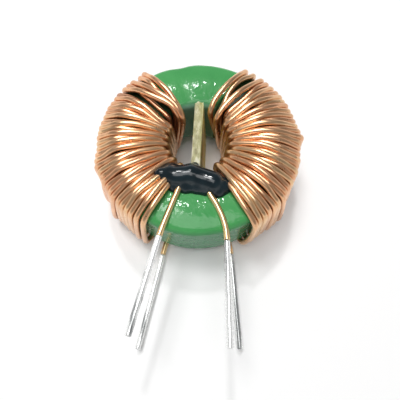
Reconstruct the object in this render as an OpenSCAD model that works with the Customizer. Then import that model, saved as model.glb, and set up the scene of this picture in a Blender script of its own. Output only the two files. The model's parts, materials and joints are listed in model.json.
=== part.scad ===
// Common-mode choke: a coated ferrite ring with two mirrored windings of one wire each.
// The ring lies flat, its axis along Z. The four leads point to the front, along -Y.
// The origin is at the middle of the whole part, on the surface that it rests on.

/* [Ferrite ring] */
// Outer diameter of the bare ferrite
core_od = 20; // [18:0.5:26]
// Bore of the bare ferrite
core_id = 10; // [9:0.5:12]
// Height of the bare ferrite
core_h = 7; // [5:0.5:12]
// Thickness of the green epoxy coat
coat_t = 0.35; // [0.2:0.05:0.6]
// Rounding of the coated ring's edges
edge_r = 0.7; // [0.65:0.05:1.2]

/* [Windings] */
// Diameter of the enamelled wire
wire_d = 0.62; // [0.5:0.01:0.7]
// Clearance between the wire and what it lies on
wire_gap = 0.01; // [0.005:0.005:0.03]
// Half angle of bare ring at the front, between the windings
front_gap = 30.5; // [26:0.5:45]
// Angle by which the front turns lie further forward in the bore than outside
front_lean = 1.5; // [0:0.5:3]
// Half angle of bare ring at the back, beside the left winding
left_back_gap = 36; // [28:0.5:45]
// Half angle of bare ring at the back, beside the right winding
right_back_gap = 31.5; // [28:0.5:45]
// Angle by which each turn's underside lies further back than its top
wall_lean = 5; // [0:0.5:8]
// Angle by which the left winding's last underside comes forward from there
left_forward = 2.5; // [0:0.5:3]
// Angle by which the right winding's last underside comes forward from there
right_forward = 7; // [0:0.5:7]
// Height by which each turn bows up over the top face
top_bow = 0.3; // [0:0.05:0.5]
// Distance by which each turn bows off the outer wall
wall_bow = 0.2; // [0:0.05:0.4]
// Distance by which each turn hangs off the outer wall's lower edge
low_slack = 0.2; // [0:0.05:0.4]

/* [Leads] */
// Clearance between the board and the upper leads in the bore
end_gap = 0.2; // [0.1:0.05:0.5]
// Length over which a lead straightens out inside the ring's edge
lead_bend = 0.8; // [0.6:0.05:1]
// Diameter of the bare copper under the solder
bare_d = 0.5; // [0.4:0.01:0.52]
// Diameter of the tinned leads
tinned_d = 0.62; // [0.56:0.01:0.66]
// Upper left lead: distance from the centre line at the ring's edge
upper_left_x = 3.7; // [3:0.1:4.5]
// Upper left lead: splay angle
upper_left_splay = 15; // [0:0.5:20]
// Upper left lead: enamelled length past the ring
upper_left_enamel = 0.15; // [0.1:0.05:2]
// Upper left lead: tinned length
upper_left_len = 9.2; // [4:0.1:20]
// Lower left lead: distance from the centre line at the ring's edge
lower_left_x = 4.1; // [3:0.1:4.5]
// Lower left lead: splay angle
lower_left_splay = 13; // [0:0.5:20]
// Lower left lead: enamelled length past the ring
lower_left_enamel = 0.5; // [0.1:0.05:2]
// Lower left lead: tinned length
lower_left_len = 10.5; // [4:0.1:20]
// Upper right lead: distance from the centre line at the ring's edge
upper_right_x = 2.7; // [2.2:0.1:4]
// Upper right lead: splay angle
upper_right_splay = 0; // [0:0.5:20]
// Upper right lead: distances from the bore to its two bends on the ring's face
upper_right_bend_1 = 1.6; // [1.4:0.05:1.8]
upper_right_bend_2 = 2.75; // [2.5:0.05:3]
// Upper right lead: enamelled length past the ring
upper_right_enamel = 0.6; // [0.1:0.05:2]
// Upper right lead: tinned length
upper_right_len = 9.4; // [4:0.1:20]
// Lower right lead: distance from the centre line at the ring's edge
lower_right_x = 3.8; // [3:0.1:4.5]
// Lower right lead: splay angle
lower_right_splay = 3.5; // [0:0.5:20]
// Lower right lead: enamelled length past the ring
lower_right_enamel = 0.4; // [0.1:0.05:2]
// Lower right lead: tinned length
lower_right_len = 10.3; // [4:0.1:20]

/* [Separator] */
// Thickness of the separator board
sep_t = 0.75; // [0.5:0.05:1]
// Distance of the board's middle from the ring's axis, towards the right winding
sep_x = 0.1; // [0:0.05:0.2]
// Height by which the board stands out of the coated ring at the top and bottom
sep_proud = 0.5; // [0:0.1:0.9]
// Turn of the board about the ring's axis
sep_yaw = 3; // [0:0.25:3.5]
// Lean of the board towards the left winding
sep_lean = 3.25; // [0:0.25:3.5]
// Clearance between the board's ends and the bore
sep_gap = 0.02; // [0.01:0.01:0.1]

/* [Adhesive bead] */
// Height of the bead over the ring's top face
bead_h = 1.1; // [0.9:0.1:1.6]
// How far the bead reaches into the bore
bead_in = 1.5; // [1:0.1:2]
// How far the bead reaches over the top face, from the bore
bead_out = 2.1; // [1.6:0.1:3]
// Length of the drop of adhesive, from one winding to the other
bead_w = 7; // [5:0.1:8]

/* [Hidden] */
coat_r = core_od / 2 + coat_t;
bore_r = core_id / 2 - coat_t;
half_h = core_h / 2 + coat_t;
wire_r = wire_d / 2;

// Centres of the bends round the ring's outer and inner edges, in radius and height
outer_bend_r = coat_r - edge_r;
inner_bend_r = bore_r + edge_r;
bend_z = half_h - edge_r;
// Radius of the innermost layer's bend, and of the wire's middle line on the outer wall and in the bore
bend_r = edge_r + wire_gap + wire_r;
wall_r = coat_r + wire_gap + wire_r;
first_layer_r = bore_r - wire_gap - wire_r;

// The board spans the bore, so its length follows from the bore and its own thickness and lean
sep_h = 2 * (half_h + sep_proud);
sep_side = sep_t / 2 * cos(sep_lean) + sep_h / 2 * sin(sep_lean);
sep_len = 2 * sqrt(pow(bore_r - sep_gap, 2) - pow(sep_side + sep_x, 2));
// Angle from the bore's middle line at which a wire at radius r passes the board with a gap. The board's
// lean and turn each bring it closer, 1, or take it further off, -1, and its shift does so too
function beside_board(r, lean, turn, shift, gap) =
    asin((sep_t / 2 + lean * half_h * sin(sep_lean) + turn * r * sin(sep_yaw) + shift + wire_r + gap) / r);

// Height at which a wire lies in the groove of two others that are two pitches apart
function ride(pitch) = sqrt(max(0, pow(wire_d, 2) - pow(pitch, 2))) + 3 * wire_gap;

// In the bore the returning turns lie in two layers, the second in the grooves of the first, where the
// wires have come closer together, because the bore narrows inwards
layer_1_in = wire_d + wire_gap;
layer_2_in = layer_1_in + ride(wire_d * (1 - (layer_1_in + wire_d) / first_layer_r));

// Gaps between turns on the outer wall: slot before the gap, counted from the back, and width in pitches
left_loose = [[1, 0.7], [4, 0.35], [30, 0.4]];
right_loose = [[0, 0.5], [1, 0.75], [3, 0.35]];
// Turns out of line on top: slot, angle by which the inner end lies nearer the front, and in wire
// diameters how far the middle and the inner end ride up and how far the inner end stands into the bore
left_astray = [[0, -3.2, 0, 0, 0], [2, -9.4, 0.6, 1.15, 0.4], [4, -5.5, 0.33, 0.15, 0.1]];
right_astray = [[0, -8, 0, 0, 0], [1, -3, 0, 0, 0]];
// Turns that stand off the outer wall: slot, and how far at the top and at the bottom, in wire diameters
left_slack = [[17, 0.2, 0.1], [18, 0.4, 0.3], [19, 0.6, 0.3], [20, 0.3, 0.2], [22, 0, 0.3], [23, 0.1, 0.7],
              [24, 0, 0.6], [25, 0.1, 0.9], [26, 0, 0.7], [27, 0, 0.5], [28, 0, 0.6], [29, 0, 0.5],
              [30, 0, 0.6], [31, 0, 0.5]];
right_slack = [[13, 0.4, 0.2], [14, 0.7, 0.4], [15, 0.2, 0.1], [23, 0, 0.3], [25, 0, 0.5], [26, 0, 0.7],
               [27, 0.1, 0.5], [28, 0, 0.2], [29, 0.2, 0.1], [30, 0.1, 0.2], [31, 0.4, 0]];

// Each winding goes from the front to the back and returns between its own turns.
// Turns per pass: as many as lie side by side in the bore and, both passes together, on the outer wall,
// and an even number, so that the last turn ends in the inner layer and its lead rises beside it
front_angle = 180 - front_gap;
bore_back_angle = wall_lean + beside_board(first_layer_r - layer_2_in, 1, 1, sep_x, 2 * wire_gap);
bore_span = front_angle + front_lean - bore_back_angle;
function arc(r, angle) = r * angle * PI / 180;
function loosened(k, loose) = [for (l = loose) l[0] < k ? l[1] : 0] * [for (l = loose) 1];
function all_loose(loose) = [for (l = loose) l[1]] * [for (l = loose) 1];
function fit_outside(back, loose) = (arc(wall_r, front_angle - back) / wire_d - all_loose(loose) + 1) / 2;
turns = 2 * floor(min(arc(first_layer_r, bore_span) / wire_d + 1,
                      fit_outside(left_back_gap, left_loose),
                      fit_outside(right_back_gap, right_loose)) / 2);
slots = 2 * turns;
bore_step = bore_span / (slots - 1);

// Height that a returning turn rides above its neighbours: where the pitch is less than the wire, it climbs
outer_pitch = wire_d * outer_bend_r / wall_r;
inner_pitch = arc(inner_bend_r, bore_step);
ride_outer = ride(outer_pitch);
ride_middle = ride((outer_pitch + inner_pitch) / 2);
ride_inner = ride(inner_pitch);

// The turns bow half as much below the ring as above it, and the whole part rests on those bows
low_bow = top_bow / 2;
rest_z = bend_z + bend_r + max(ride_inner, ride_middle + low_bow) + wire_r;
lead_z = half_h + wire_gap + wire_r;

// Layer in which the upper leads rise in the bore: the one that the last turn isn't in
lead_layer = 3 - layer_of(slots - 1);
// Angles at which the upper leads come out of the bore, and the right one's kink past the bore's edge:
// distance from the bore and angle of each bend
left_end_angle = 180 - beside_board(layer_r(lead_layer), 1, 1, -sep_x, end_gap);
right_end_angle = 180 - beside_board(layer_r(lead_layer), 0, -1, sep_x, end_gap);
right_kink = [[upper_right_bend_1, 171], [upper_right_bend_2, 166.6]];

// A lead: side, height, distance from the centre line, splay, enamelled and tinned length, and an upper
// one's way out
upper_left = [-1, lead_z, upper_left_x, upper_left_splay, upper_left_enamel, upper_left_len,
              left_end_angle, []];
lower_left = [-1, -lead_z, lower_left_x, lower_left_splay, lower_left_enamel, lower_left_len];
upper_right = [1, lead_z, upper_right_x, upper_right_splay, upper_right_enamel, upper_right_len,
               right_end_angle, right_kink];
lower_right = [1, -lead_z, lower_right_x, lower_right_splay, lower_right_enamel, lower_right_len];
function lead_way(lead) = [lead[0] * sin(lead[3]), -cos(lead[3]), 0];
function lead_edge(lead) = [lead[0] * lead[2], -coat_r, lead[1]];
function lead_at(lead, d) = lead_edge(lead) + d * lead_way(lead);
function lead_tip(lead) = lead_at(lead, lead[4] + lead[5]);
function reach(lead) = -lead_tip(lead)[1] + tinned_d / 2 * sin(lead[3]);
front_reach = max(reach(upper_left), reach(lower_left), reach(upper_right), reach(lower_right));
// Shift that centres the whole part along Y
axis_y = (front_reach - coat_r) / 2;

// Angles about the axis run from the back, 0, to the front, 180, on either side
function on_ring(side, r, angle, z) = [side * r * sin(angle), r * cos(angle), z];
function around(side, p) = let (r = norm([p[0], p[1]])) [side * p[1] / r, -side * p[0] / r, 0];
function unit(v) = v / norm(v);

// Angle of slot k, counted from the back, on the outer wall and in the bore
function outer_angle(k, back, loose) =
    back + (front_angle - back) * (k + loosened(k, loose)) / (slots - 1 + all_loose(loose));
function bore_angle(k) = bore_back_angle + bore_step * k;

// The first pass takes every other slot from the front to the back, and the return pass the rest
function slot_of(j) = j < turns ? slots - 1 - 2 * j : 2 * (j - turns);
function layer_of(j) = j < turns ? 0 : 1 + (j - turns) % 2;
function home_layer(j) = j < turns ? 0 : j == slots - 1 ? lead_layer : layer_of(j + 1);
function layer_r(layer) = first_layer_r - [0, layer_1_in, layer_2_in][layer];

// Middle line round one bend, outside a quarter of an ellipse that meets the wall at radius wall and the
// face at height face. It runs from the wall to the face, or back
wall_to_face = [15, 45, 75];
face_to_wall = [75, 45, 15];
function bend(side, centre_r, wall, face, angle, up, steps) =
    [for (t = steps) on_ring(side, centre_r + (wall - centre_r) * cos(t) / cos(15), angle,
                             up * (bend_z + (face - bend_z) * sin(t) / cos(15)))];

// Angle by which the underside of the turn in slot k lies further back than its top. It comes forward
// over the last slots
forward_slots = 10;
function lean_of(k, forward) = wall_lean - forward * max(0, 1 - (slots - 1 - k) / forward_slots);

// Row of a table for slot k, or zeros
function row_of(table, k) = concat([for (row = table) if (row[0] == k) row], [[k, 0, 0, 0, 0]])[0];

// One turn: out over the top, down the outer wall and back in below, up to the next rise in the bore
function turn(side, j, winding) =
    let (k = slot_of(j),
         returning = j < turns ? 0 : 1,
         astray = row_of(winding[2], k),
         slack = row_of(winding[3], k) * wire_d,
         lean = lean_of(k, winding[4]),
         outer = outer_angle(k, winding[0], winding[1]),
         inner = bore_angle(k),
         face = bend_z + bend_r,
         this_r = layer_r(layer_of(j)) - astray[4] * wire_d,
         next_r = layer_r(home_layer(j)),
         face_in = face + returning * ride_inner,
         face_mid = face + returning * ride_middle,
         face_out = face + returning * ride_outer,
         over = bend(side, inner_bend_r, this_r, face_in + astray[3] * wire_d, inner + astray[1], 1,
                     wall_to_face),
         down = bend(side, outer_bend_r, wall_r + slack[1], face_out, outer, 1, face_to_wall),
         off_wall = wall_bow + max(slack[1], (slack[1] + slack[2]) / 2),
         under = bend(side, outer_bend_r, wall_r + low_slack + slack[2], face_out, outer - lean, -1,
                      wall_to_face),
         home = bend(side, inner_bend_r, next_r, face_in, inner - wall_lean, -1, face_to_wall),
         top = (over[2] + down[0]) / 2,
         bottom = (under[2] + home[0]) / 2)
    concat(over, [[top[0], top[1], face_mid + top_bow + astray[2] * wire_d]], down,
           [on_ring(side, wall_r + off_wall, outer - lean / 2, 0)], under,
           [[bottom[0], bottom[1], -face_mid - low_bow]], home);

// The lower lead starts the wire, the upper one ends it. Both straighten out just inside the ring's edge
function lower_lead(lead) =
    concat([lead_tip(lead), lead_at(lead, lead[4]), lead_at(lead, lead[4]), lead_at(lead, -lead_bend)],
           bend(lead[0], inner_bend_r, first_layer_r, lead_z, bore_angle(slots + 1) - wall_lean, -1,
                face_to_wall));
function upper_way(lead) =
    concat([on_ring(lead[0], layer_r(lead_layer), lead[6], 0)],
           bend(lead[0], inner_bend_r, layer_r(lead_layer), lead_z, lead[6], 1, wall_to_face),
           [for (k = lead[7]) on_ring(lead[0], bore_r + k[0], k[1], lead_z)],
           [lead_at(lead, -lead_bend)]);
function upper_lead(lead) =
    concat(upper_way(lead), [lead_at(lead, lead[4]), lead_at(lead, lead[4]), lead_tip(lead)]);

// A winding: half angle of bare ring at the back, its tables, and how far its last underside comes forward
left_turns = [left_back_gap, left_loose, left_astray, left_slack, left_forward];
right_turns = [right_back_gap, right_loose, right_astray, right_slack, right_forward];
function route(lower, upper, winding) =
    concat(lower_lead(lower), [for (j = [0:slots - 1]) each turn(lower[0], j, winding)], upper_lead(upper));
left_route = route(lower_left, upper_left, left_turns);
right_route = route(lower_right, upper_right, right_turns);

// Shift that centres the whole part along X, between the turns that stand out most on either side
function side_reach(route) = max([for (p = route) abs(p[0])]);
axis_x = (side_reach(left_route) - side_reach(right_route)) / 2;

wire_sides = 6;
room_r = wire_r + 3 * wire_gap;

module placed() {
    translate([axis_x, axis_y, rest_z]) children();
}

// Section of a ring with rounded edges, in radius and height
module ring_section(r_in, r_out, half, r) {
    translate([r_in + r, -half]) square([r_out - r_in - 2 * r, 2 * half]);
    translate([r_in, -half + r]) square([r_out - r_in, 2 * (half - r)]);
    for (x = [r_in + r, r_out - r], y = [-half + r, half - r])
        translate([x, y]) circle(r = r, $fn = 48);
}

module ferrite_section() {
    ring_section(core_id / 2, core_od / 2, core_h / 2, edge_r - coat_t);
}

module coated_ring() {
    rotate_extrude($fn = 120) ring_section(bore_r, coat_r, half_h, edge_r);
}

// A tube swept along a route of points, thinner between its two first and its two last points
module wire(side, route) {
    n = len(route);
    sweep = [for (i = [0:n - 1])
        let (t = unit(route[min(i + 1, n - 1)] - route[max(i - 1, 0)]),
             e = around(side, route[i]),
             s = unit(e - (e * t) * t),
             u = cross(t, s),
             r = i < 2 || i > n - 3 ? bare_d / 2 : wire_r)
        each [for (a = [0:wire_sides - 1]) let (q = 90 + 360 * a / wire_sides)
            route[i] + r * (cos(q) * s + sin(q) * u)]];
    m = wire_sides;
    polyhedron(sweep, concat(
        [[for (a = [0:m - 1]) a]],
        [for (i = [0:n - 2], a = [0:m - 1]) [i * m + a, (i + 1) * m + a, (i + 1) * m + (a + 1) % m]],
        [for (i = [0:n - 2], a = [0:m - 1]) [i * m + a, (i + 1) * m + (a + 1) % m, i * m + (a + 1) % m]],
        [[for (a = [0:m - 1]) n * m - 1 - a]]));
}

module ferrite_core() {
    color("dimgray") placed() rotate_extrude($fn = 120) ferrite_section();
}

module core_coating() {
    color("mediumseagreen") placed() rotate_extrude($fn = 120) difference() {
        ring_section(bore_r, coat_r, half_h, edge_r);
        ferrite_section();
    }
}

module left_winding() {
    color("peru") placed() wire(-1, left_route);
}

module right_winding() {
    color("peru") placed() wire(1, right_route);
}

// Solder on a lead: a round skin on the bare copper, open at the cut end
module solder(lead) {
    color("silver") placed() translate(lead_at(lead, lead[4]))
        rotate([90, 0, lead[0] * lead[3]]) linear_extrude(lead[5]) difference() {
            circle(d = tinned_d, $fn = 48);
            rotate(90) circle(d = bare_d, $fn = wire_sides);
        }
}

module board() {
    translate([sep_x, 0, 0]) rotate([0, -sep_lean, -sep_yaw]) cube([sep_t, sep_len, sep_h], center = true);
}

module separator() {
    color("darkkhaki") placed() board();
}

// The bead: a long drop of adhesive across the bore's front edge, between the two windings
bead_r = (bead_in + bead_out) / 2;
module bead_drop() {
    reach = bead_w / 2 - bead_r;
    translate([0, -bore_r - (bead_out - bead_in) / 2, half_h + bead_h - bead_r])
        rotate([0, 90, 0]) rotate_extrude($fn = 72) intersection() {
            union() {
                for (y = [-reach, reach]) translate([0, y]) circle(r = bead_r, $fn = 72);
                translate([-bead_r, -reach]) square([2 * bead_r, 2 * reach]);
            }
            translate([0, -bead_w / 2]) square([bead_r, bead_w]);
        }
}

// Room for a wire that runs straight in plan between two points, from a height up to its top
module channel(from, to, low) {
    way = to - from;
    translate([from[0], from[1], low]) rotate(atan2(way[1], way[0]))
        translate([-room_r, -room_r, 0])
            cube([norm([way[0], way[1]]) + 2 * room_r, 2 * room_r, lead_z + room_r - low]);
}

// What the last turn of a winding and the turns behind it take from the bead
module past_last_turn(side) {
    rotate(side * (180 - bore_angle(slots - 1)))
        translate([side > 0 ? -room_r : room_r - bead_w, -coat_r, -half_h])
            cube([bead_w, coat_r, 3 * half_h]);
}

module adhesive_bead() {
    color("darkslategray") placed() difference() {
        bead_drop();
        coated_ring();
        board();
        for (side = [-1, 1]) past_last_turn(side);
        for (lead = [upper_left, upper_right]) {
            way = upper_way(lead);
            channel(way[0], way[3], -half_h);
            for (i = [3:len(way) - 2]) channel(way[i], way[i + 1], bend_z);
        }
    }
}

module upper_left_solder() solder(upper_left);
module lower_left_solder() solder(lower_left);
module upper_right_solder() solder(upper_right);
module lower_right_solder() solder(lower_right);

ferrite_core();
core_coating();
left_winding();
right_winding();
separator();
adhesive_bead();
upper_left_solder();
lower_left_solder();
upper_right_solder();
lower_right_solder();
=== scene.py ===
import json
import math
import random

import bpy
from mathutils import Matrix, Vector


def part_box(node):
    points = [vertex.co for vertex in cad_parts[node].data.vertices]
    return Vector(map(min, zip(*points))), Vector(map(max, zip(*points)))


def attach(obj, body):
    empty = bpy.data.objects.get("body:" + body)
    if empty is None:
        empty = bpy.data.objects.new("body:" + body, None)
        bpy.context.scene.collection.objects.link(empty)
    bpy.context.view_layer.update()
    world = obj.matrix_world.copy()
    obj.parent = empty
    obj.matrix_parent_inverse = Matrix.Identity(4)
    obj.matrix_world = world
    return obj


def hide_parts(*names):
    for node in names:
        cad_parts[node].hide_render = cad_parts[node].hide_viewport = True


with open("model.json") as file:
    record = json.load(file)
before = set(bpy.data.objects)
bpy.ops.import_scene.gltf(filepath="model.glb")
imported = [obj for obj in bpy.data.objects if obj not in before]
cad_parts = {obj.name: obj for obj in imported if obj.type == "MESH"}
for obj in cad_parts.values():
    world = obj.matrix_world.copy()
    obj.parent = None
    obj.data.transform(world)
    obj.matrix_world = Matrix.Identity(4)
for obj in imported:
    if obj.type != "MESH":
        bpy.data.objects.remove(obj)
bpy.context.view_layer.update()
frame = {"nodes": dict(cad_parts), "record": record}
mm = 0.001

# The ring's place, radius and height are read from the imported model; its bore and edges are given
ringLow, ringHigh = (Vector(corner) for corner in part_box("core_coating"))
ring = {
    "radius": (ringHigh.x - ringLow.x) / 2,
    "halfHeight": (ringHigh.z - ringLow.z) / 2,
    "centre": (ringLow + ringHigh) / 2,
    "boreRadius": 4.65 * mm,
    "edgeRadius": 0.7 * mm,
}


def clearSelection():
    if bpy.context.object and bpy.context.object.mode != "OBJECT":
        bpy.ops.object.mode_set(mode="OBJECT")
    bpy.ops.object.select_all(action="DESELECT")


def onRing(side, radius, angle, height):
    # angles run from the back, 0, to the front, 180, on either side of the ring
    turn = math.radians(angle)
    return ring["centre"] + Vector((side * radius * math.sin(turn), radius * math.cos(turn), height))


def smoothPiece(piece, angle=40):
    clearSelection()
    piece.select_set(True)
    bpy.context.view_layer.objects.active = piece
    bpy.ops.object.shade_smooth_by_angle(angle=math.radians(angle))


def dress(piece, name, material, slot, *nodes):
    piece.name = name
    piece.data.name = name
    piece.data.materials.clear()
    piece.data.materials.append(material)
    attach(piece, "root")
    if nodes:
        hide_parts(*nodes)


def displace(piece, height, size):
    texture = bpy.data.textures.new(piece.name + "Lumps", "CLOUDS")
    texture.noise_scale = size
    modifier = piece.modifiers.new("lumps", "DISPLACE")
    modifier.texture = texture
    modifier.texture_coords = "LOCAL"
    modifier.strength = height
    modifier.mid_level = 0.5
    bpy.ops.object.modifier_apply(modifier="lumps")


# Parts that the materials are made of

def newMaterial(name, constants):
    material = bpy.data.materials.new(name)
    material.use_nodes = True
    tree = material.node_tree
    bsdf = tree.nodes["Principled BSDF"]
    for socket, value in constants.items():
        bsdf.inputs[socket].default_value = value
    return material, tree, bsdf


def addNoise(tree, scale, detail, roughness=0.5, stretch=None):
    place = tree.nodes.new("ShaderNodeTexCoord")
    texture = tree.nodes.new("ShaderNodeTexNoise")
    texture.inputs["Scale"].default_value = scale
    texture.inputs["Detail"].default_value = detail
    texture.inputs["Roughness"].default_value = roughness
    if stretch:
        mapping = tree.nodes.new("ShaderNodeMapping")
        mapping.inputs["Scale"].default_value = stretch
        tree.links.new(place.outputs["Object"], mapping.inputs["Vector"])
        tree.links.new(mapping.outputs["Vector"], texture.inputs["Vector"])
    else:
        tree.links.new(place.outputs["Object"], texture.inputs["Vector"])
    return texture.outputs["Fac"]


def addAttribute(tree, name):
    attribute = tree.nodes.new("ShaderNodeAttribute")
    attribute.attribute_name = name
    return attribute.outputs["Fac"]


def addRamp(tree, source, stops):
    ramp = tree.nodes.new("ShaderNodeValToRGB")
    elements = ramp.color_ramp.elements
    while len(elements) < len(stops):
        elements.new(0.5)
    for element, (position, colour) in zip(elements, stops):
        element.position = position
        element.color = (*colour, 1)
    tree.links.new(source, ramp.inputs["Fac"])
    return ramp.outputs["Color"]


def addMix(tree, factor, first, second, blend="MIX"):
    mix = tree.nodes.new("ShaderNodeMix")
    mix.data_type = "RGBA"
    mix.blend_type = blend
    for value, socket in ((factor, mix.inputs[0]), (first, mix.inputs[6]), (second, mix.inputs[7])):
        if isinstance(value, bpy.types.NodeSocket):
            tree.links.new(value, socket)
        else:
            socket.default_value = value if isinstance(value, float) else (*value, 1)
    return mix.outputs[2]


def addProduct(tree, first, second):
    product = tree.nodes.new("ShaderNodeMath")
    product.operation = "MULTIPLY"
    tree.links.new(first, product.inputs[0])
    tree.links.new(second, product.inputs[1])
    return product.outputs["Value"]


def addSpan(tree, source, low, high, atLow, atHigh):
    # the source's range from low to high becomes atLow to atHigh
    span = tree.nodes.new("ShaderNodeMapRange")
    for name, value in zip(("From Min", "From Max", "To Min", "To Max"), (low, high, atLow, atHigh)):
        span.inputs[name].default_value = value
    tree.links.new(source, span.inputs["Value"])
    return span.outputs["Result"]


def addPlace(tree, axis, low, high, atLow, atHigh):
    # a value that follows the object's own place along an axis
    place = tree.nodes.new("ShaderNodeTexCoord")
    parts = tree.nodes.new("ShaderNodeSeparateXYZ")
    tree.links.new(place.outputs["Object"], parts.inputs["Vector"])
    return addSpan(tree, parts.outputs[axis], low, high, atLow, atHigh)


def addRoughness(tree, bsdf, source, low, high):
    tree.links.new(addSpan(tree, source, 0.0, 1.0, low, high), bsdf.inputs["Roughness"])


def addBump(tree, bsdf, *layers):
    # layers are (height, strength, distance); the last one made feeds the shader
    normal = None
    for height, strength, distance in layers:
        bump = tree.nodes.new("ShaderNodeBump")
        bump.inputs["Strength"].default_value = strength
        bump.inputs["Distance"].default_value = distance
        tree.links.new(height, bump.inputs["Height"])
        if normal:
            tree.links.new(normal, bump.inputs["Normal"])
        normal = bump.outputs["Normal"]
    tree.links.new(normal, bsdf.inputs["Normal"])
    return normal


# Materials; ramps are lists of (place, colour), and noise scales are per metre

epoxy = {
    "top": [(0.3, (0.055, 0.285, 0.085)), (0.7, (0.078, 0.345, 0.108))],
    # painted shade: the wall is painted a duller, darker green than the top
    "wall": (0.046, 0.205, 0.086),
    # painted light: the coat in the bore is painted a lighter grey green than its shade there gives
    "bore": (0.19, 0.37, 0.26),
    # painted shade: near black where the windings cover the coat, standing in for the shade between the
    # wires
    "wound": (0.020, 0.045, 0.018),
    "topBand": (3.0 * mm, 3.7 * mm),        # where the top takes over, over the ring's middle
    "wallShare": 0.04,                      # of the top's colour and bumps
    "gloss": 0.30,
    "waves": (0.5, 0.045 * mm),
    "grain": (0.9, 0.030 * mm),
    "constants": {"Coat Roughness": 0.06, "Specular IOR Level": 0.06},
}


def greenEpoxy(look):
    # painted shade on the wall, a duller green than the top; painted light in the bore, a lighter grey
    # green; painted shade where it is wound, near black, and matt there
    material, tree, bsdf = newMaterial("greenEpoxy", look["constants"])
    middle = ring["centre"].z
    top = addPlace(tree, "Z", *(middle + place for place in look["topBand"]), look["wallShare"], 1.0)
    wound = addAttribute(tree, "wound")
    colour = addRamp(tree, addNoise(tree, scale=260, detail=4.0), look["top"])
    # the wall is painted darker than the top: painted shade
    colour = addMix(tree, top, look["wall"], colour)
    # painted light: the bore is painted a lighter grey green
    colour = addMix(tree, addAttribute(tree, "inBore"), colour, look["bore"])
    # painted shade: near black where the windings cover the coat
    colour = addMix(tree, wound, colour, look["wound"])
    tree.links.new(colour, bsdf.inputs["Base Color"])
    gloss = addSpan(tree, wound, 0.0, 1.0, look["gloss"], 0.0)
    tree.links.new(gloss, bsdf.inputs["Coat Weight"])
    addRoughness(tree, bsdf, addNoise(tree, scale=900, detail=2.0), low=0.2, high=0.34)
    waves = addProduct(tree, addNoise(tree, scale=900, detail=1.0), top)
    grain = addProduct(tree, addNoise(tree, scale=2600, detail=1.0), top)
    normal = addBump(tree, bsdf, (waves, *look["waves"]), (grain, *look["grain"]))
    tree.links.new(normal, bsdf.inputs["Coat Normal"])
    return material


enamel = {
    # tone 0, a dark plum, is painted shade for the turns that lie deep between others; the other tones
    # differ at random
    "turns": [(0.0, (0.36, 0.17, 0.12)), (0.12, (0.80, 0.44, 0.25)), (0.5, (0.86, 0.52, 0.30)),
              (1.0, (0.85, 0.58, 0.33))],
    "patches": [(0.35, (0.86, 0.80, 0.78)), (0.65, (1.0, 1.0, 1.0))],
    "leads": (0.86, 0.62, 0.33),
    "constants": {"Metallic": 0.95, "Coat Weight": 0.05, "Coat Roughness": 0.12},
}


def enamelledCopper(look):
    # the wire's own attributes carry each turn's tone and where the leads shade to gold
    material, tree, bsdf = newMaterial("enamelledCopper", look["constants"])
    copper = addRamp(tree, addAttribute(tree, "turnTone"), look["turns"])
    patches = addRamp(tree, addNoise(tree, scale=420, detail=3.0), look["patches"])
    colour = addMix(tree, 1.0, copper, patches, "MULTIPLY")
    colour = addMix(tree, addAttribute(tree, "leadTone"), colour, look["leads"])
    tree.links.new(colour, bsdf.inputs["Base Color"])
    addRoughness(tree, bsdf, addNoise(tree, scale=1500, detail=2.0), low=0.24, high=0.34)
    addBump(tree, bsdf, (addNoise(tree, scale=2600, detail=2.0), 0.12, 0.02 * mm))
    return material


tinned = {
    "streaks": [(0.38, (0.30, 0.31, 0.31)), (0.47, (0.84, 0.85, 0.84)), (0.7, (0.96, 0.96, 0.95))],
    "streakStretch": (1, 0.05, 1),
    "lumpStretch": (1, 0.3, 1),
    "constants": {"Metallic": 0.6},
}


def dippedTin(look):
    material, tree, bsdf = newMaterial("dippedTin", look["constants"])
    streaks = addNoise(tree, scale=1300, detail=3.0, stretch=look["streakStretch"])
    lumps = addNoise(tree, scale=900, detail=1.0, stretch=look["lumpStretch"])
    tree.links.new(addRamp(tree, streaks, look["streaks"]), bsdf.inputs["Base Color"])
    addRoughness(tree, bsdf, addNoise(tree, scale=1800, detail=2.0), low=0.18, high=0.36)
    addBump(tree, bsdf, (lumps, 0.08, 0.03 * mm))
    return material


laminate = {
    "glass": [(0.34, (0.27, 0.25, 0.12)), (0.50, (0.47, 0.45, 0.26)), (0.64, (0.72, 0.70, 0.52))],
    "resin": [(0.34, (0.24, 0.23, 0.07)), (0.60, (0.42, 0.41, 0.15))],
    # painted light: the right face, which stands in shade, is painted a bright yellow, besides the light
    # that passes through the board
    "face": (0.92, 0.88, 0.42),
    "stretch": (1.0, 0.35, 0.5),
    "darkEdgeBand": (-0.05 * mm, 0.35 * mm),   # where the darker tone takes over, across the bore from the axis
    "darkEdgeShare": 0.85,
    "faceBand": (0.40 * mm, 0.52 * mm),
    "constants": {"Specular IOR Level": 0.4, "Subsurface Weight": 0.7,
                  "Subsurface Radius": (1.0, 1.0, 0.5), "Subsurface Scale": 1.5 * mm},
}


def fibreBoard(look):
    # paler at the left of the edge and darker at its right; the right face lets light through, and is also
    # painted a bright yellow: painted light
    material, tree, bsdf = newMaterial("fibreBoard", look["constants"])
    middle = ring["centre"].x
    fibres = addNoise(tree, scale=2600, detail=4.0, roughness=0.7, stretch=look["stretch"])
    glass = addRamp(tree, fibres, look["glass"])
    resin = addRamp(tree, fibres, look["resin"])
    across = addPlace(tree, "X", *(middle + place for place in look["darkEdgeBand"]), 0.0, look["darkEdgeShare"])
    face = addPlace(tree, "X", *(middle + place for place in look["faceBand"]), 0.0, 1.0)
    colour = addMix(tree, face, addMix(tree, across, glass, resin), look["face"])
    tree.links.new(colour, bsdf.inputs["Base Color"])
    addRoughness(tree, bsdf, fibres, low=0.45, high=0.75)
    addBump(tree, bsdf, (fibres, 0.5, 0.06 * mm))
    return material


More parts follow.
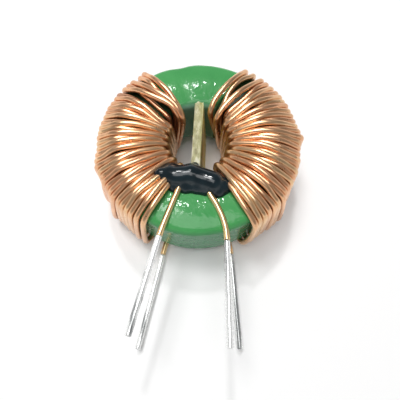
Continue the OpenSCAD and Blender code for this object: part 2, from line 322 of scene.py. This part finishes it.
adhesive = {
    "colours": [(0.35, (0.005, 0.011, 0.015)), (0.7, (0.011, 0.024, 0.031))],
    "constants": {"Coat Weight": 0.4, "Coat Roughness": 0.04, "Specular IOR Level": 0.15},
}


def blackAdhesive(look):
    material, tree, bsdf = newMaterial("blackAdhesive", look["constants"])
    colour = addRamp(tree, addNoise(tree, scale=500, detail=3.0), look["colours"])
    tree.links.new(colour, bsdf.inputs["Base Color"])
    addRoughness(tree, bsdf, addNoise(tree, scale=700, detail=2.0), low=0.18, high=0.30)
    addBump(tree, bsdf, (addNoise(tree, scale=520, detail=2.0), 0.25, 0.10 * mm))
    return material


sintered = {
    "colours": [(0.3, (0.03, 0.03, 0.033)), (0.7, (0.08, 0.08, 0.085))],
}


def sinteredFerrite(look):
    material, tree, bsdf = newMaterial("sinteredFerrite", {})
    grain = addNoise(tree, scale=2400, detail=4.0)
    tree.links.new(addRamp(tree, grain, look["colours"]), bsdf.inputs["Base Color"])
    addRoughness(tree, bsdf, grain, low=0.6, high=0.8)
    addBump(tree, bsdf, (grain, 0.3, 0.02 * mm))
    return material


paper = {"Base Color": (0.95, 0.95, 0.95, 1), "Roughness": 0.9, "Specular IOR Level": 0.06}


def paperFloor(constants):
    # white to the camera where it is lit, and it keeps the shadow
    return newMaterial("paperFloor", constants)[0]


copper = enamelledCopper(enamel)
tin = dippedTin(tinned)

# The coat on the ring: a rounded section spun about the ring's axis, with the slow lumps of a dipped coat

coreCoat = {
    "bevelSegments": 8,
    "straightCuts": 14,
    "steps": 240,
    "weld": 0.002 * mm,
    "crestRadius": 8.2 * mm,                # the coat stands highest here and falls away on both sides
    "crestWidth": 1.1 * mm,
    "crestSlope": 0.17,
    "crestRise": 0.14 * mm,
    "lumpHeight": 0.16 * mm,
    "lumpSize": 5.0 * mm,
    "rippleHeight": 0.02 * mm,
    "rippleSize": 1.0 * mm,
    "dent": (-13.0, 6.0, 0.09 * mm),        # place and width in degrees from the back, and depth
    # the coat is painted lighter inside this radius, fading in over the next: painted light
    "boreEdge": 5.1 * mm,
    "boreFade": 0.4 * mm,
    # the coat under the windings, between these angles, is painted near black: painted shade
    "woundShadeBack": ((32.0, 39.0), (22.5, 33.0)),    # left and right, at the bore and at the rim, in degrees
    "woundShadeFront": 146.0,
    "woundShadeFade": 2.5,
}
coatWidth = ring["radius"] - ring["boreRadius"]


def coatSection(part):
    # the open outline of the section, standing at the ring's right
    middle = ring["centre"] + Vector((ring["boreRadius"] + coatWidth / 2, 0, 0))
    bpy.ops.mesh.primitive_plane_add(size=1, location=middle, rotation=(math.pi / 2, 0, 0))
    piece = bpy.context.object
    bpy.ops.transform.resize(value=(coatWidth, 1, 2 * ring["halfHeight"]))
    bpy.ops.object.transform_apply(location=True, rotation=True, scale=True)
    bpy.ops.object.mode_set(mode="EDIT")
    bpy.ops.mesh.select_all(action="SELECT")
    bpy.ops.mesh.bevel(offset=ring["edgeRadius"], segments=part["bevelSegments"], affect="VERTICES")
    bpy.ops.object.mode_set(mode="OBJECT")
    mesh = piece.data
    for edge in mesh.edges:
        start, end = (mesh.vertices[v].co for v in edge.vertices)
        edge.select = (start - end).length > ring["edgeRadius"]
    bpy.ops.object.mode_set(mode="EDIT")
    bpy.ops.mesh.select_mode(type="EDGE")
    bpy.ops.mesh.subdivide(number_cuts=part["straightCuts"])
    bpy.ops.mesh.select_all(action="SELECT")
    bpy.ops.mesh.delete(type="ONLY_FACE")
    bpy.ops.object.mode_set(mode="OBJECT")
    for vertex in mesh.vertices:
        above = vertex.co.z - ring["centre"].z
        reach = vertex.co.x - ring["centre"].x - part["crestRadius"]
        fall = part["crestSlope"] * (math.hypot(reach, part["crestWidth"]) - part["crestWidth"])
        vertex.co.z += (part["crestRise"] - fall) * above / ring["halfHeight"]
    return piece


def dentCoat(part, mesh):
    place, width, depth = part["dent"]
    for vertex in mesh.vertices:
        spot = vertex.co - ring["centre"]
        turn = math.degrees(math.atan2(spot.x, spot.y))
        outward = math.hypot(spot.x, spot.y) / ring["radius"]
        share = math.exp(-((turn - place) / width) ** 2) * outward
        vertex.co.y -= depth * share
        vertex.co.z -= depth * share * max(0.0, spot.z) / ring["halfHeight"]


def markCoat(part, mesh):
    # the material reads where the bore is, for its painted light, and where the coat is wound, for its
    # painted shade
    inBore = mesh.attributes.new("inBore", "FLOAT", "POINT")
    wound = mesh.attributes.new("wound", "FLOAT", "POINT")
    for index, vertex in enumerate(mesh.vertices):
        spot = vertex.co - ring["centre"]
        reach = math.hypot(spot.x, spot.y)
        angle = math.degrees(math.atan2(abs(spot.x), spot.y))
        inBore.data[index].value = min(1.0, max(0.0, (part["boreEdge"] - reach) / part["boreFade"]))
        atBore, atRim = part["woundShadeBack"][spot.x > 0]
        start = atBore + (atRim - atBore) * (reach - ring["boreRadius"]) / coatWidth
        inside = min(angle - start, part["woundShadeFront"] - angle)
        wound.data[index].value = min(1.0, max(0.0, inside / part["woundShadeFade"]))


def makeCoreCoat(part):
    print("stage: coat on the ring")
    clearSelection()
    piece = coatSection(part)
    bpy.ops.object.mode_set(mode="EDIT")
    bpy.ops.mesh.select_all(action="SELECT")
    bpy.ops.mesh.spin(steps=part["steps"], angle=2 * math.pi, center=ring["centre"], axis=(0, 0, 1))
    bpy.ops.mesh.select_all(action="SELECT")
    bpy.ops.mesh.remove_doubles(threshold=part["weld"])
    bpy.ops.mesh.normals_make_consistent(inside=False)
    bpy.ops.object.mode_set(mode="OBJECT")
    displace(piece, part["lumpHeight"], part["lumpSize"])
    displace(piece, part["rippleHeight"], part["rippleSize"])
    dentCoat(part, piece.data)
    markCoat(part, piece.data)
    smoothPiece(piece)
    dress(piece, "coreCoat", greenEpoxy(epoxy), "green_epoxy", "core_coating")


makeCoreCoat(coreCoat)

# The two windings: each is one wire, wound to the back and then returned between its own turns.
# A slot is a turn's place on the outer wall, counted from the back.

wire = {
    "radius": 0.31 * mm,
    "gap": 0.01 * mm,
    "turnsPerPass": 16,
    "frontAngle": 149.5,
    "boreFront": 151.0,
    "boreBack": 26.64,
    "bendAngles": (15, 45, 75),             # degrees round a bend, from the wall to the face
    "topShares": (0.32, 0.78),              # the inner and the outer place on the top face
    "topBow": 0.42 * mm,
    "innerRide": (-0.16 * mm, 0.26 * mm),   # over the face at the bore, outgoing and returning
    "outerShare": 0.4,                      # of a turn's rise that reaches the outer place
    "advance": 8.0,                         # the turns at the back come forward into the bore
    "advanceSlots": 18,
    "standOff": 0.06 * mm,
    "wallBow": 0.22 * mm,
    "lowSlack": 0.26 * mm,
    "wallLean": 5.0,
    "forwardSlots": 10,
    "rimRide": 0.06 * mm,
    "backSlots": 12,
    "backTurn": 18.0,
    "backRise": 1.0 * mm,
    "sides": 14,
    "order": 3,
    "pointsPerSpan": 4,
    "tones": (0.12, 1.0),
    "toneSeed": 100,                        # added to the winding's own seed
    "goldRings": (14, 30),                  # rings of the mesh over which the leads turn copper
}
# how far a turn strays from its even place: turns in degrees, the rest in millimetres
hand = {
    "outer": (-0.3, 0.3),
    "inner": (-0.6, 0.6),
    "innerTurn": (-1.3, 1.3),
    "outerTurn": (-1.1, 1.1),
    "innerRise": (-0.10, 0.12),
    "outerRise": (-0.12, 0.10),
    "high": (0, 0.10),
    "low": (0, 0.12),
}
firstLayer = ring["boreRadius"] - wire["gap"] - wire["radius"]
wallRadius = ring["radius"] + wire["gap"] + wire["radius"]
bendHeight = ring["halfHeight"] - ring["edgeRadius"]
faceHeight = ring["halfHeight"] + wire["gap"] + wire["radius"]
outerBend = ring["radius"] - ring["edgeRadius"]
innerBend = ring["boreRadius"] + ring["edgeRadius"]
slots = 2 * wire["turnsPerPass"]
toFace = wire["bendAngles"]
toWall = toFace[::-1]
leadBend = 0.8 * mm

# backAngle: place of the turn at the back; forward: lean of the front turns down the wall; in degrees
# dull: turns whose wire is painted dark, painted shade, counted along it
# innerBow, outerBow: millimetres over the face at those two places, outgoing and returning
# loose: extra room after a slot, in slots
# astray, by slot: inner end nearer the front in degrees; rise at the inner place, rise at the inner
# end and depth into the bore in wire diameters; and inner place nearer the front in degrees
# slack, by slot: how far a turn stands off the wall at the top and at the bottom, in wire diameters
# upper, lower: the leads, with x and the enamel's length in millimetres
leftWinding = {
    "name": "leftWinding", "side": -1, "seed": 3, "backAngle": 36.0, "forward": 2.5, "dull": (14,),
    "innerBow": (0.30, 0.74), "outerBow": (0.66, 0.80),
    "loose": [(1, 0.70), (4, 0.35), (30, 0.4)],
    "astray": {0: (-5, 0, 0.2, 0.5, 0), 1: (-2.5, 0, 0, 0, 1), 2: (-7.5, 0.6, 1.2, 0.8, 4),
               3: (3, -0.8, -0.6, 0, 0), 4: (-10.5, 0.5, 0.9, 0.8, 3),
               5: (6.5, -0.2, -0.2, 0, -2.5), 6: (6.8, 0, 0, 0, -4), 7: (4.5, -0.2, 0, 0, -2.5),
               8: (4, 0, 0, 0, -3), 9: (2, 0, 0, 0, -1.5), 10: (1, 0, 0, 0, -1)},
    "slack": {0: (0.25, 0.1), 17: (0.2, 0.1), 18: (0.4, 0.3), 19: (0.6, 0.3), 20: (0.3, 0.2),
              21: (0.2, 0.6), 22: (0.2, 1.2), 23: (0.1, 0.7), 24: (0, 0.6), 25: (0.1, 1.4),
              26: (0, 0.8), 27: (0, 0.5), 28: (0, 0.6), 29: (0, 0.5), 30: (0, 0.6), 31: (0, 0.5)},
    "upper": {"x": 3.7, "splay": 15.0, "enamel": 0.15, "angle": 161.1, "bends": []},
    "lower": {"x": 4.1, "splay": 13.0, "enamel": 0.5},
}
rightWinding = {
    "name": "rightWinding", "side": 1, "seed": 8, "backAngle": 31.5, "forward": 7.0, "dull": (),
    "innerBow": (0.48, 0.90), "outerBow": (0.58, 0.70),
    "loose": [(0, 0.50), (1, 0.75), (3, 0.35)],
    "astray": {0: (-14.6, 0, 0.1, 0.3, 1.5), 1: (-5, -0.1, 0, 0, -3.8), 2: (-4.8, 0.2, 0.3, 0.4, 1),
               3: (-1.4, -0.3, 0, 0, 0), 4: (2.6, 0.2, 0.1, 0, 0), 6: (1, 0, 0, 0, 0)},
    "slack": {13: (0.4, 0.2), 14: (0.7, 0.4), 15: (0.2, 0.1), 23: (0, 0.3), 25: (0.2, 1.2),
              26: (0, 0.8), 27: (0.1, 0.5), 28: (0, 0.2), 29: (0.2, 0.1), 30: (0.1, 0.2),
              31: (0.4, 0)},
    "upper": {"x": 2.7, "splay": 0.0, "enamel": 0.6, "angle": 167.7, "bends": [(1.6, 171.0), (2.75, 166.6)]},
    "lower": {"x": 3.8, "splay": 3.5, "enamel": 0.4},
}


def outerAngle(winding, slot):
    eased = slot + sum(extra for loose, extra in winding["loose"] if loose < slot)
    whole = slots - 1 + sum(extra for loose, extra in winding["loose"])
    return winding["backAngle"] + (wire["frontAngle"] - winding["backAngle"]) * eased / whole


def innerAngle(slot):
    return wire["boreBack"] + (wire["boreFront"] - wire["boreBack"]) * slot / (slots - 1)


def rideHeight(pitch):
    # how far a wire in the groove between two others stands over them, centre to centre
    return math.sqrt(max(0.0, 4 * wire["radius"] ** 2 - pitch ** 2)) + 3 * wire["gap"]


def bendPoints(side, centre, wall, face, angle, up, order):
    # a quarter of an ellipse from the wall at radius wall to the face at height face, or back
    widen = math.cos(math.radians(toFace[0]))
    return [onRing(side, centre + (wall - centre) * math.cos(math.radians(bend)) / widen, angle,
                   up * (bendHeight + (face - bendHeight) * math.sin(math.radians(bend)) / widen))
            for bend in order]


def layerRadius(layer):
    # the returning turns lie in two layers in the bore, the second in the grooves of the first
    second = firstLayer - 2 * wire["radius"] - wire["gap"]
    narrowed = 1 - (firstLayer - second + 2 * wire["radius"]) / firstLayer
    return (firstLayer, second, second - rideHeight(2 * wire["radius"] * narrowed))[layer]


def turnLayer(turn):
    return 0 if turn < wire["turnsPerPass"] else 1 + (turn - wire["turnsPerPass"]) % 2


def homeLayer(turn):
    # the layer that a turn comes home to is the next turn's
    if turn < wire["turnsPerPass"]:
        return 0
    return 1 if turn == slots - 1 else turnLayer(turn + 1)


def turnPoints(winding, turn, chance):
    side, passTurns = winding["side"], wire["turnsPerPass"]
    returning = turn >= passTurns
    slot = 2 * (turn - passTurns) if returning else slots - 1 - 2 * turn
    onward, innerRise, endRise, depth, sway = winding["astray"].get(slot, (0, 0, 0, 0, 0))
    innerRise, endRise, depth = (2 * wire["radius"] * part for part in (innerRise, endRise, depth))
    high, low = (2 * wire["radius"] * part for part in winding["slack"].get(slot, (0, 0)))
    outer = outerAngle(winding, slot) + chance.uniform(*hand["outer"])
    inner = innerAngle(slot) + onward + wire["advance"] * max(0, 1 - slot / wire["advanceSlots"])
    inner += chance.uniform(*hand["inner"])
    innerTurn = sway + chance.uniform(*hand["innerTurn"])
    outerTurn = sway / 2 + chance.uniform(*hand["outerTurn"])
    innerRise += chance.uniform(*hand["innerRise"]) * mm
    outerRise = innerRise * wire["outerShare"] + chance.uniform(*hand["outerRise"]) * mm
    high += wire["standOff"] + chance.uniform(*hand["high"]) * mm
    low += chance.uniform(*hand["low"]) * mm
    outerPitch = 2 * wire["radius"] * outerBend / wallRadius
    innerPitch = innerBend * math.radians((wire["boreFront"] - wire["boreBack"]) / (slots - 1))
    faceIn, faceMiddle = (faceHeight + (rideHeight(pitch) if returning else 0) for pitch in
                          (innerPitch, (innerPitch + outerPitch) / 2))
    faceOut = faceHeight + (wire["rimRide"] if returning else 0)
    radius, nextRadius = layerRadius(turnLayer(turn)) - depth, layerRadius(homeLayer(turn))
    atBack = max(0, 1 - slot / wire["backSlots"])
    atFront = max(0, 1 - (slots - 1 - slot) / wire["forwardSlots"])
    lean = wire["wallLean"] - winding["forward"] * atFront
    faceStart = faceHeight + wire["innerRide"][returning] + endRise
    over = bendPoints(side, innerBend, radius, faceStart, inner, 1, toFace)
    down = bendPoints(side, outerBend, wallRadius + high, faceOut, outer, 1, toWall)
    wallStand = wallRadius + wire["wallBow"] + max(high, (high + low) / 2)
    wall = onRing(side, wallStand, outer - lean / 2, 0)
    lowStand = wallRadius + wire["lowSlack"] + low
    under = bendPoints(side, outerBend, lowStand, faceOut, outer - lean, -1, toFace)
    nextRadius = min(firstLayer, nextRadius + wire["backRise"] * atBack)
    homeTurn = innerAngle(slot) - wire["wallLean"] + wire["backTurn"] * atBack
    home = bendPoints(side, innerBend, nextRadius, faceIn, homeTurn, -1, toWall)
    top = []
    for share, sideways, bow, rise in zip(wire["topShares"], (innerTurn, outerTurn),
                                          (winding["innerBow"], winding["outerBow"]),
                                          (innerRise, outerRise)):
        top.append(onRing(side, innerBend + (outerBend - innerBend) * share,
                          inner + (outer - inner) * share + sideways,
                          faceHeight + bow[returning] * mm + rise))
    bottom = (under[-1] + home[0]) / 2
    bottom.z = ring["centre"].z - faceMiddle - wire["topBow"] / 2
    return over + top + down + [wall] + under + [bottom] + home


def leadPoint(winding, lead, up, distance):
    splay = math.radians(lead["splay"])
    start = ring["centre"] + Vector((winding["side"] * lead["x"] * mm, -ring["radius"], up * faceHeight))
    return start + distance * Vector((winding["side"] * math.sin(splay), -math.cos(splay), 0))


def windingRoute(winding):
    side, upper, lower = winding["side"], winding["upper"], winding["lower"]
    chance = random.Random(winding["seed"])
    lowerTurn = innerAngle(slots + 1) - wire["wallLean"]
    route = [leadPoint(winding, lower, -1, lower["enamel"] * mm), leadPoint(winding, lower, -1, -leadBend)]
    route += bendPoints(side, innerBend, firstLayer, faceHeight, lowerTurn, -1, toWall)
    for turn in range(slots):
        route += turnPoints(winding, turn, chance)
    route.append(onRing(side, layerRadius(1), upper["angle"], 0))
    route += bendPoints(side, innerBend, layerRadius(1), faceHeight, upper["angle"], 1, toFace)
    for past, angle in upper["bends"]:
        route.append(onRing(side, ring["boreRadius"] + past * mm, angle, faceHeight))
    route += [leadPoint(winding, upper, 1, -leadBend), leadPoint(winding, upper, 1, upper["enamel"] * mm)]
    return route


def sweepWire(name, route):
    clearSelection()
    bpy.ops.curve.primitive_nurbs_path_add()
    path = bpy.context.object
    curve = path.data
    curve.splines.clear()
    spline = curve.splines.new("NURBS")
    spline.points.add(len(route) - 1)
    for point, place in zip(spline.points, route):
        point.co = (*place, 1)
    spline.order_u = wire["order"]
    spline.use_endpoint_u = True
    spline.resolution_u = wire["pointsPerSpan"]
    curve.bevel_depth = wire["radius"]
    curve.bevel_resolution = (wire["sides"] - 4) // 2    # 4 sides, and 2 more for each step
    curve.use_fill_caps = True
    bpy.ops.object.convert(target="MESH")
    piece = bpy.context.object
    piece.location = (0, 0, 0)
    piece.name = name
    return piece


def makeWinding(winding):
    print("stage:", winding["name"])
    piece = sweepWire(winding["name"], windingRoute(winding))
    mesh = piece.data
    rings = len(mesh.vertices) // wire["sides"]
    chance = random.Random(winding["seed"] + wire["toneSeed"])
    tones = [chance.uniform(*wire["tones"]) for turn in range(slots + 2)]
    # these turns lie deep between others and are painted dark: painted shade
    for turn in winding["dull"]:
        tones[turn] = 0.0
    turnTone = mesh.attributes.new("turnTone", "FLOAT", "POINT")
    leadTone = mesh.attributes.new("leadTone", "FLOAT", "POINT")
    perTurn = rings / (slots + 1)
    lowerRings, upperRings = wire["goldRings"]
    for index in range(len(mesh.vertices)):
        along = index // wire["sides"]
        turn, rest = divmod(along / perTurn, 1)
        turn = min(int(turn), slots)
        turnTone.data[index].value = tones[turn] + (tones[turn + 1] - tones[turn]) * rest
        leadTone.data[index].value = max(0.0, 1 - along / lowerRings, 1 - (rings - along) / upperRings)
    smoothPiece(piece, angle=60)
    side = "left" if winding["side"] < 0 else "right"
    dress(piece, winding["name"], copper, "enamelled_copper", side + "_winding")


makeWinding(leftWinding)
makeWinding(rightWinding)

# Tinned lead ends: the dipped solder stands a little thicker in places and rounds off the cut end

solder = {
    "segments": 24,
    "rings": 40,
    "waviness": 0.05 * mm,
    "waveSize": 1.6 * mm,
    "tipBevel": 0.12 * mm,
    "tipSegments": 4,
}


def makeSolder(part, node):
    clearSelection()
    mount = next(m for m in frame["record"]["mounts"] if m["name"] == node.replace("solder", "pin"))
    middle, way = Vector(mount["pos_m"]), Vector(mount["axis"])
    length, radius = mount["dims"]["length_mm"] * mm, mount["dims"]["r_mm"] * mm
    turn = Vector((0, 0, 1)).rotation_difference(way).to_euler()
    bpy.ops.mesh.primitive_cylinder_add(vertices=part["segments"], radius=radius, depth=length,
                                        location=middle, rotation=turn)
    piece = bpy.context.object
    bpy.ops.object.transform_apply(location=True, rotation=True, scale=True)
    mesh = piece.data
    bpy.ops.object.mode_set(mode="EDIT")
    bpy.ops.mesh.select_mode(type="EDGE")
    bpy.ops.mesh.select_all(action="DESELECT")
    bpy.ops.object.mode_set(mode="OBJECT")
    for edge in mesh.edges:
        ends = [(mesh.vertices[v].co - middle).dot(way) for v in edge.vertices]
        edge.select = min(ends) > length / 2 - radius or max(ends) < radius - length / 2
    bpy.ops.object.mode_set(mode="EDIT")
    bpy.ops.mesh.bevel(offset=part["tipBevel"], segments=part["tipSegments"], affect="EDGES")
    bpy.ops.object.mode_set(mode="OBJECT")
    for edge in mesh.edges:
        ends = [(mesh.vertices[v].co - middle).dot(way) for v in edge.vertices]
        edge.select = max(ends) - min(ends) > length / 2
    bpy.ops.object.mode_set(mode="EDIT")
    bpy.ops.mesh.subdivide(number_cuts=part["rings"])
    bpy.ops.object.mode_set(mode="OBJECT")
    displace(piece, part["waviness"], part["waveSize"])
    smoothPiece(piece, angle=50)
    name = "".join(word.capitalize() for word in node.split("_"))
    dress(piece, name[0].lower() + name[1:], tin, "tin_solder", node)


print("stage: tinned leads")
for node in ("upper_left_solder", "lower_left_solder", "upper_right_solder", "lower_right_solder"):
    makeSolder(solder, node)

# The board across the bore, sawn from sheet; its back end is broken off unevenly and keeps a prong

board = {
    "thickness": 0.95 * mm,
    "shift": 0.1 * mm,
    "proud": 0.5 * mm,
    "endGap": 0.02 * mm,
    "yaw": 3.0,
    "lean": 3.25,
    "bevel": 0.05 * mm,
    "bevelSegments": 2,
    "cuts": 40,
    "roughness": 0.06 * mm,
    "roughSize": 0.35 * mm,
    "prong": (0.22 * mm, 0.10 * mm, 0.16 * mm),   # place across the edge, half width and height
    "prongLength": 0.7 * mm,
    "topBand": 0.2 * mm,                    # below the upper edge, where the prong begins
    "endBand": 0.15 * mm,
    "brokenDepth": 0.22 * mm,
    "brokenAcross": 0.11 * mm,              # sizes of the broken end's waves
    "brokenUp": 0.5 * mm,
}


def breakEnd(part, mesh, length, height):
    prongPlace, prongWidth, prongHeight = part["prong"]
    for vertex in mesh.vertices:
        fromEnd = length / 2 - vertex.co.y
        if vertex.co.z > height / 2 - part["topBand"] and fromEnd < part["prongLength"]:
            share = 1 - fromEnd / part["prongLength"]
            vertex.co.z += prongHeight * share * max(0, 1 - abs(vertex.co.x - prongPlace) / prongWidth)
        if vertex.co.z > 0 and fromEnd < part["endBand"]:
            uneven = math.sin(vertex.co.x / part["brokenAcross"] + vertex.co.z / part["brokenUp"])
            vertex.co.y -= part["brokenDepth"] * (0.5 - 0.5 * uneven) * (2 * vertex.co.z / height) ** 3


def makeBoard(part):
    print("stage: board")
    clearSelection()
    lean, yaw = math.radians(part["lean"]), math.radians(part["yaw"])
    height = 2 * (ring["halfHeight"] + part["proud"])
    halfWidth = part["thickness"] / 2 * math.cos(lean) + part["shift"] + height / 2 * math.sin(lean)
    length = 2 * math.sqrt((ring["boreRadius"] - part["endGap"]) ** 2 - halfWidth ** 2)
    bpy.ops.mesh.primitive_cube_add(size=1)
    piece = bpy.context.object
    piece.scale = (part["thickness"], length, height)
    bpy.ops.object.transform_apply(location=False, rotation=False, scale=True)
    bpy.ops.object.mode_set(mode="EDIT")
    bpy.ops.mesh.select_all(action="SELECT")
    bpy.ops.mesh.bevel(offset=part["bevel"], segments=part["bevelSegments"], affect="EDGES")
    bpy.ops.mesh.select_all(action="SELECT")
    bpy.ops.mesh.subdivide(number_cuts=part["cuts"])
    bpy.ops.object.mode_set(mode="OBJECT")
    displace(piece, part["roughness"], part["roughSize"])
    breakEnd(part, piece.data, length, height)
    turn = Matrix.Rotation(-lean, 4, "Y") @ Matrix.Rotation(-yaw, 4, "Z")
    piece.matrix_world = Matrix.Translation(ring["centre"] + Vector((part["shift"], 0, 0))) @ turn
    bpy.ops.object.transform_apply(location=True, rotation=True, scale=True)
    smoothPiece(piece, angle=50)
    dress(piece, "separatorBoard", fibreBoard(laminate), "fibre_board", "separator")


makeBoard(board)

# The bead of adhesive: drops that have run together over the board's end and the wires

bead = {
    # across, forward from the ring's axis, height over the ring's face, radius; all in millimetres
    "drops": [(-3.95, 4.25, 0.65, 0.60), (-3.25, 4.15, 0.35, 0.90), (-2.75, 3.65, 0.25, 0.75),
              (-2.40, 4.45, 0.40, 1.20), (-0.8, 4.30, 0.35, 1.35), (1.45, 5.10, 0.30, 1.30),
              (0.40, 4.65, 0.30, 1.05), (-1.6, 4.85, -0.40, 1.05), (0.3, 4.80, -0.30, 1.15),
              (2.5, 5.50, -0.15, 0.90), (2.90, 5.25, 0.10, 0.65), (1.9, 6.05, -0.15, 0.70),
              (-0.3, 3.15, 0.10, 0.45), (-2.5, 5.45, -0.10, 0.65), (-1.3, 5.50, -0.10, 0.72),
              (-0.2, 5.55, -0.10, 0.72), (0.7, 5.70, -0.10, 0.70)],
    "resolution": 0.14,
    "threshold": 0.6,
    "reach": 1.6,                           # a drop's field over its radius
}


def makeBead(part):
    print("stage: adhesive bead")
    clearSelection()
    bpy.ops.object.metaball_add(type="BALL", radius=1, location=(0, 0, 0))
    family = bpy.context.object
    family.data.resolution = part["resolution"]
    family.data.render_resolution = part["resolution"]
    family.data.threshold = part["threshold"]
    family.data.elements.remove(family.data.elements[0])
    for across, forward, above, size in part["drops"]:
        drop = family.data.elements.new()
        drop.co = (across, -forward, above)
        drop.radius = size * part["reach"]
    bpy.context.view_layer.update()
    bpy.ops.object.convert(target="MESH")
    piece = bpy.context.object
    bpy.ops.transform.resize(value=(mm, mm, mm))
    piece.location = ring["centre"] + Vector((0, 0, ring["halfHeight"]))
    bpy.ops.object.transform_apply(location=True, rotation=True, scale=True)
    smoothPiece(piece, angle=80)
    dress(piece, "adhesiveBead", blackAdhesive(adhesive), "black_adhesive", "adhesive_bead")


makeBead(bead)

ferrite = frame["nodes"]["ferrite_core"]
ferrite.data.materials.clear()
ferrite.data.materials.append(sinteredFerrite(sintered))

# Floor, lights and camera

studio = {
    "floorSize": 2.0,
    # place from the ring's centre and size in metres, and power, of each lamp
    "lamps": {
        "key": ((-0.052, 0.058, 0.226), 0.055, 0.20),
        "spark": ((-0.014, 0.110, 0.210), 0.016, 0.11),
        "soft": ((-0.012, -0.022, 0.240), 0.12, 0.235),
    },
    "world": [(0.0, 1.6), (0.16, 1.1), (0.38, 0.30), (1.0, 0.12)],    # height and level
    "worldSides": (1.15, 0.85),             # share of that level at the left and at the right
    "background": (1.0, 1.0, 1.0),
}
camera = {
    "back": 17.87 * mm,                     # in front of the ring's axis
    "above": 31.65 * mm,                    # over the ring's top face
    "pitch": 69.57,                         # below the level
    "lens": 30.15,
    "sensor": 36,
    "shiftX": 0.00375,
    "shiftY": -0.0175,
    "near": 1.0 * mm,
}


def makeFloor(part):
    clearSelection()
    bpy.ops.mesh.primitive_plane_add(size=part["floorSize"], location=(0, 0, 0))
    floor = bpy.context.object
    floor.name = "floor"
    floor.data.materials.append(paperFloor(paper))


def addLamp(name, place, size, power):
    # a square lamp that looks at the ring's centre
    light = bpy.data.lights.new(name, "AREA")
    light.size = size
    light.energy = power
    lamp = bpy.data.objects.new(name, light)
    bpy.context.scene.collection.objects.link(lamp)
    lamp.location = ring["centre"] + Vector(place)
    lamp.rotation_euler = (ring["centre"] - lamp.location).to_track_quat("-Z", "Y").to_euler()


def makeWorld(part):
    # the ring sees the studio's levels, and the camera a plain white
    world = bpy.data.worlds.new("studioWorld")
    bpy.context.scene.world = world
    world.use_nodes = True
    tree = world.node_tree
    tree.nodes.clear()
    place = tree.nodes.new("ShaderNodeTexCoord")
    split = tree.nodes.new("ShaderNodeSeparateXYZ")
    tree.links.new(place.outputs["Generated"], split.inputs["Vector"])
    shade = addRamp(tree, split.outputs["Z"], [(height, (level,) * 3) for height, level in part["world"]])
    sides = addSpan(tree, split.outputs["X"], -1.0, 1.0, *part["worldSides"])
    shade = addMix(tree, 1.0, shade, sides, "MULTIPLY")
    rays = tree.nodes.new("ShaderNodeLightPath")
    colour = addMix(tree, rays.outputs["Is Camera Ray"], shade, part["background"])
    background = tree.nodes.new("ShaderNodeBackground")
    tree.links.new(colour, background.inputs["Color"])
    output = tree.nodes.new("ShaderNodeOutputWorld")
    tree.links.new(background.outputs["Background"], output.inputs["Surface"])


def makeCamera(part):
    place = ring["centre"] + Vector((0, -part["back"], ring["halfHeight"] + part["above"]))
    bpy.ops.object.camera_add(location=place, rotation=(math.radians(90 - part["pitch"]), 0, 0))
    shot = bpy.context.object
    shot.data.lens = part["lens"]
    shot.data.sensor_width = part["sensor"]
    shot.data.shift_x = part["shiftX"]
    shot.data.shift_y = part["shiftY"]
    shot.data.clip_start = part["near"]
    bpy.context.scene.camera = shot


print("stage: floor, lights and camera")
makeFloor(studio)
for name, (place, size, power) in studio["lamps"].items():
    addLamp(name + "Light", place, size, power)
makeWorld(studio)
makeCamera(camera)
bpy.context.scene.view_settings.view_transform = "Standard"
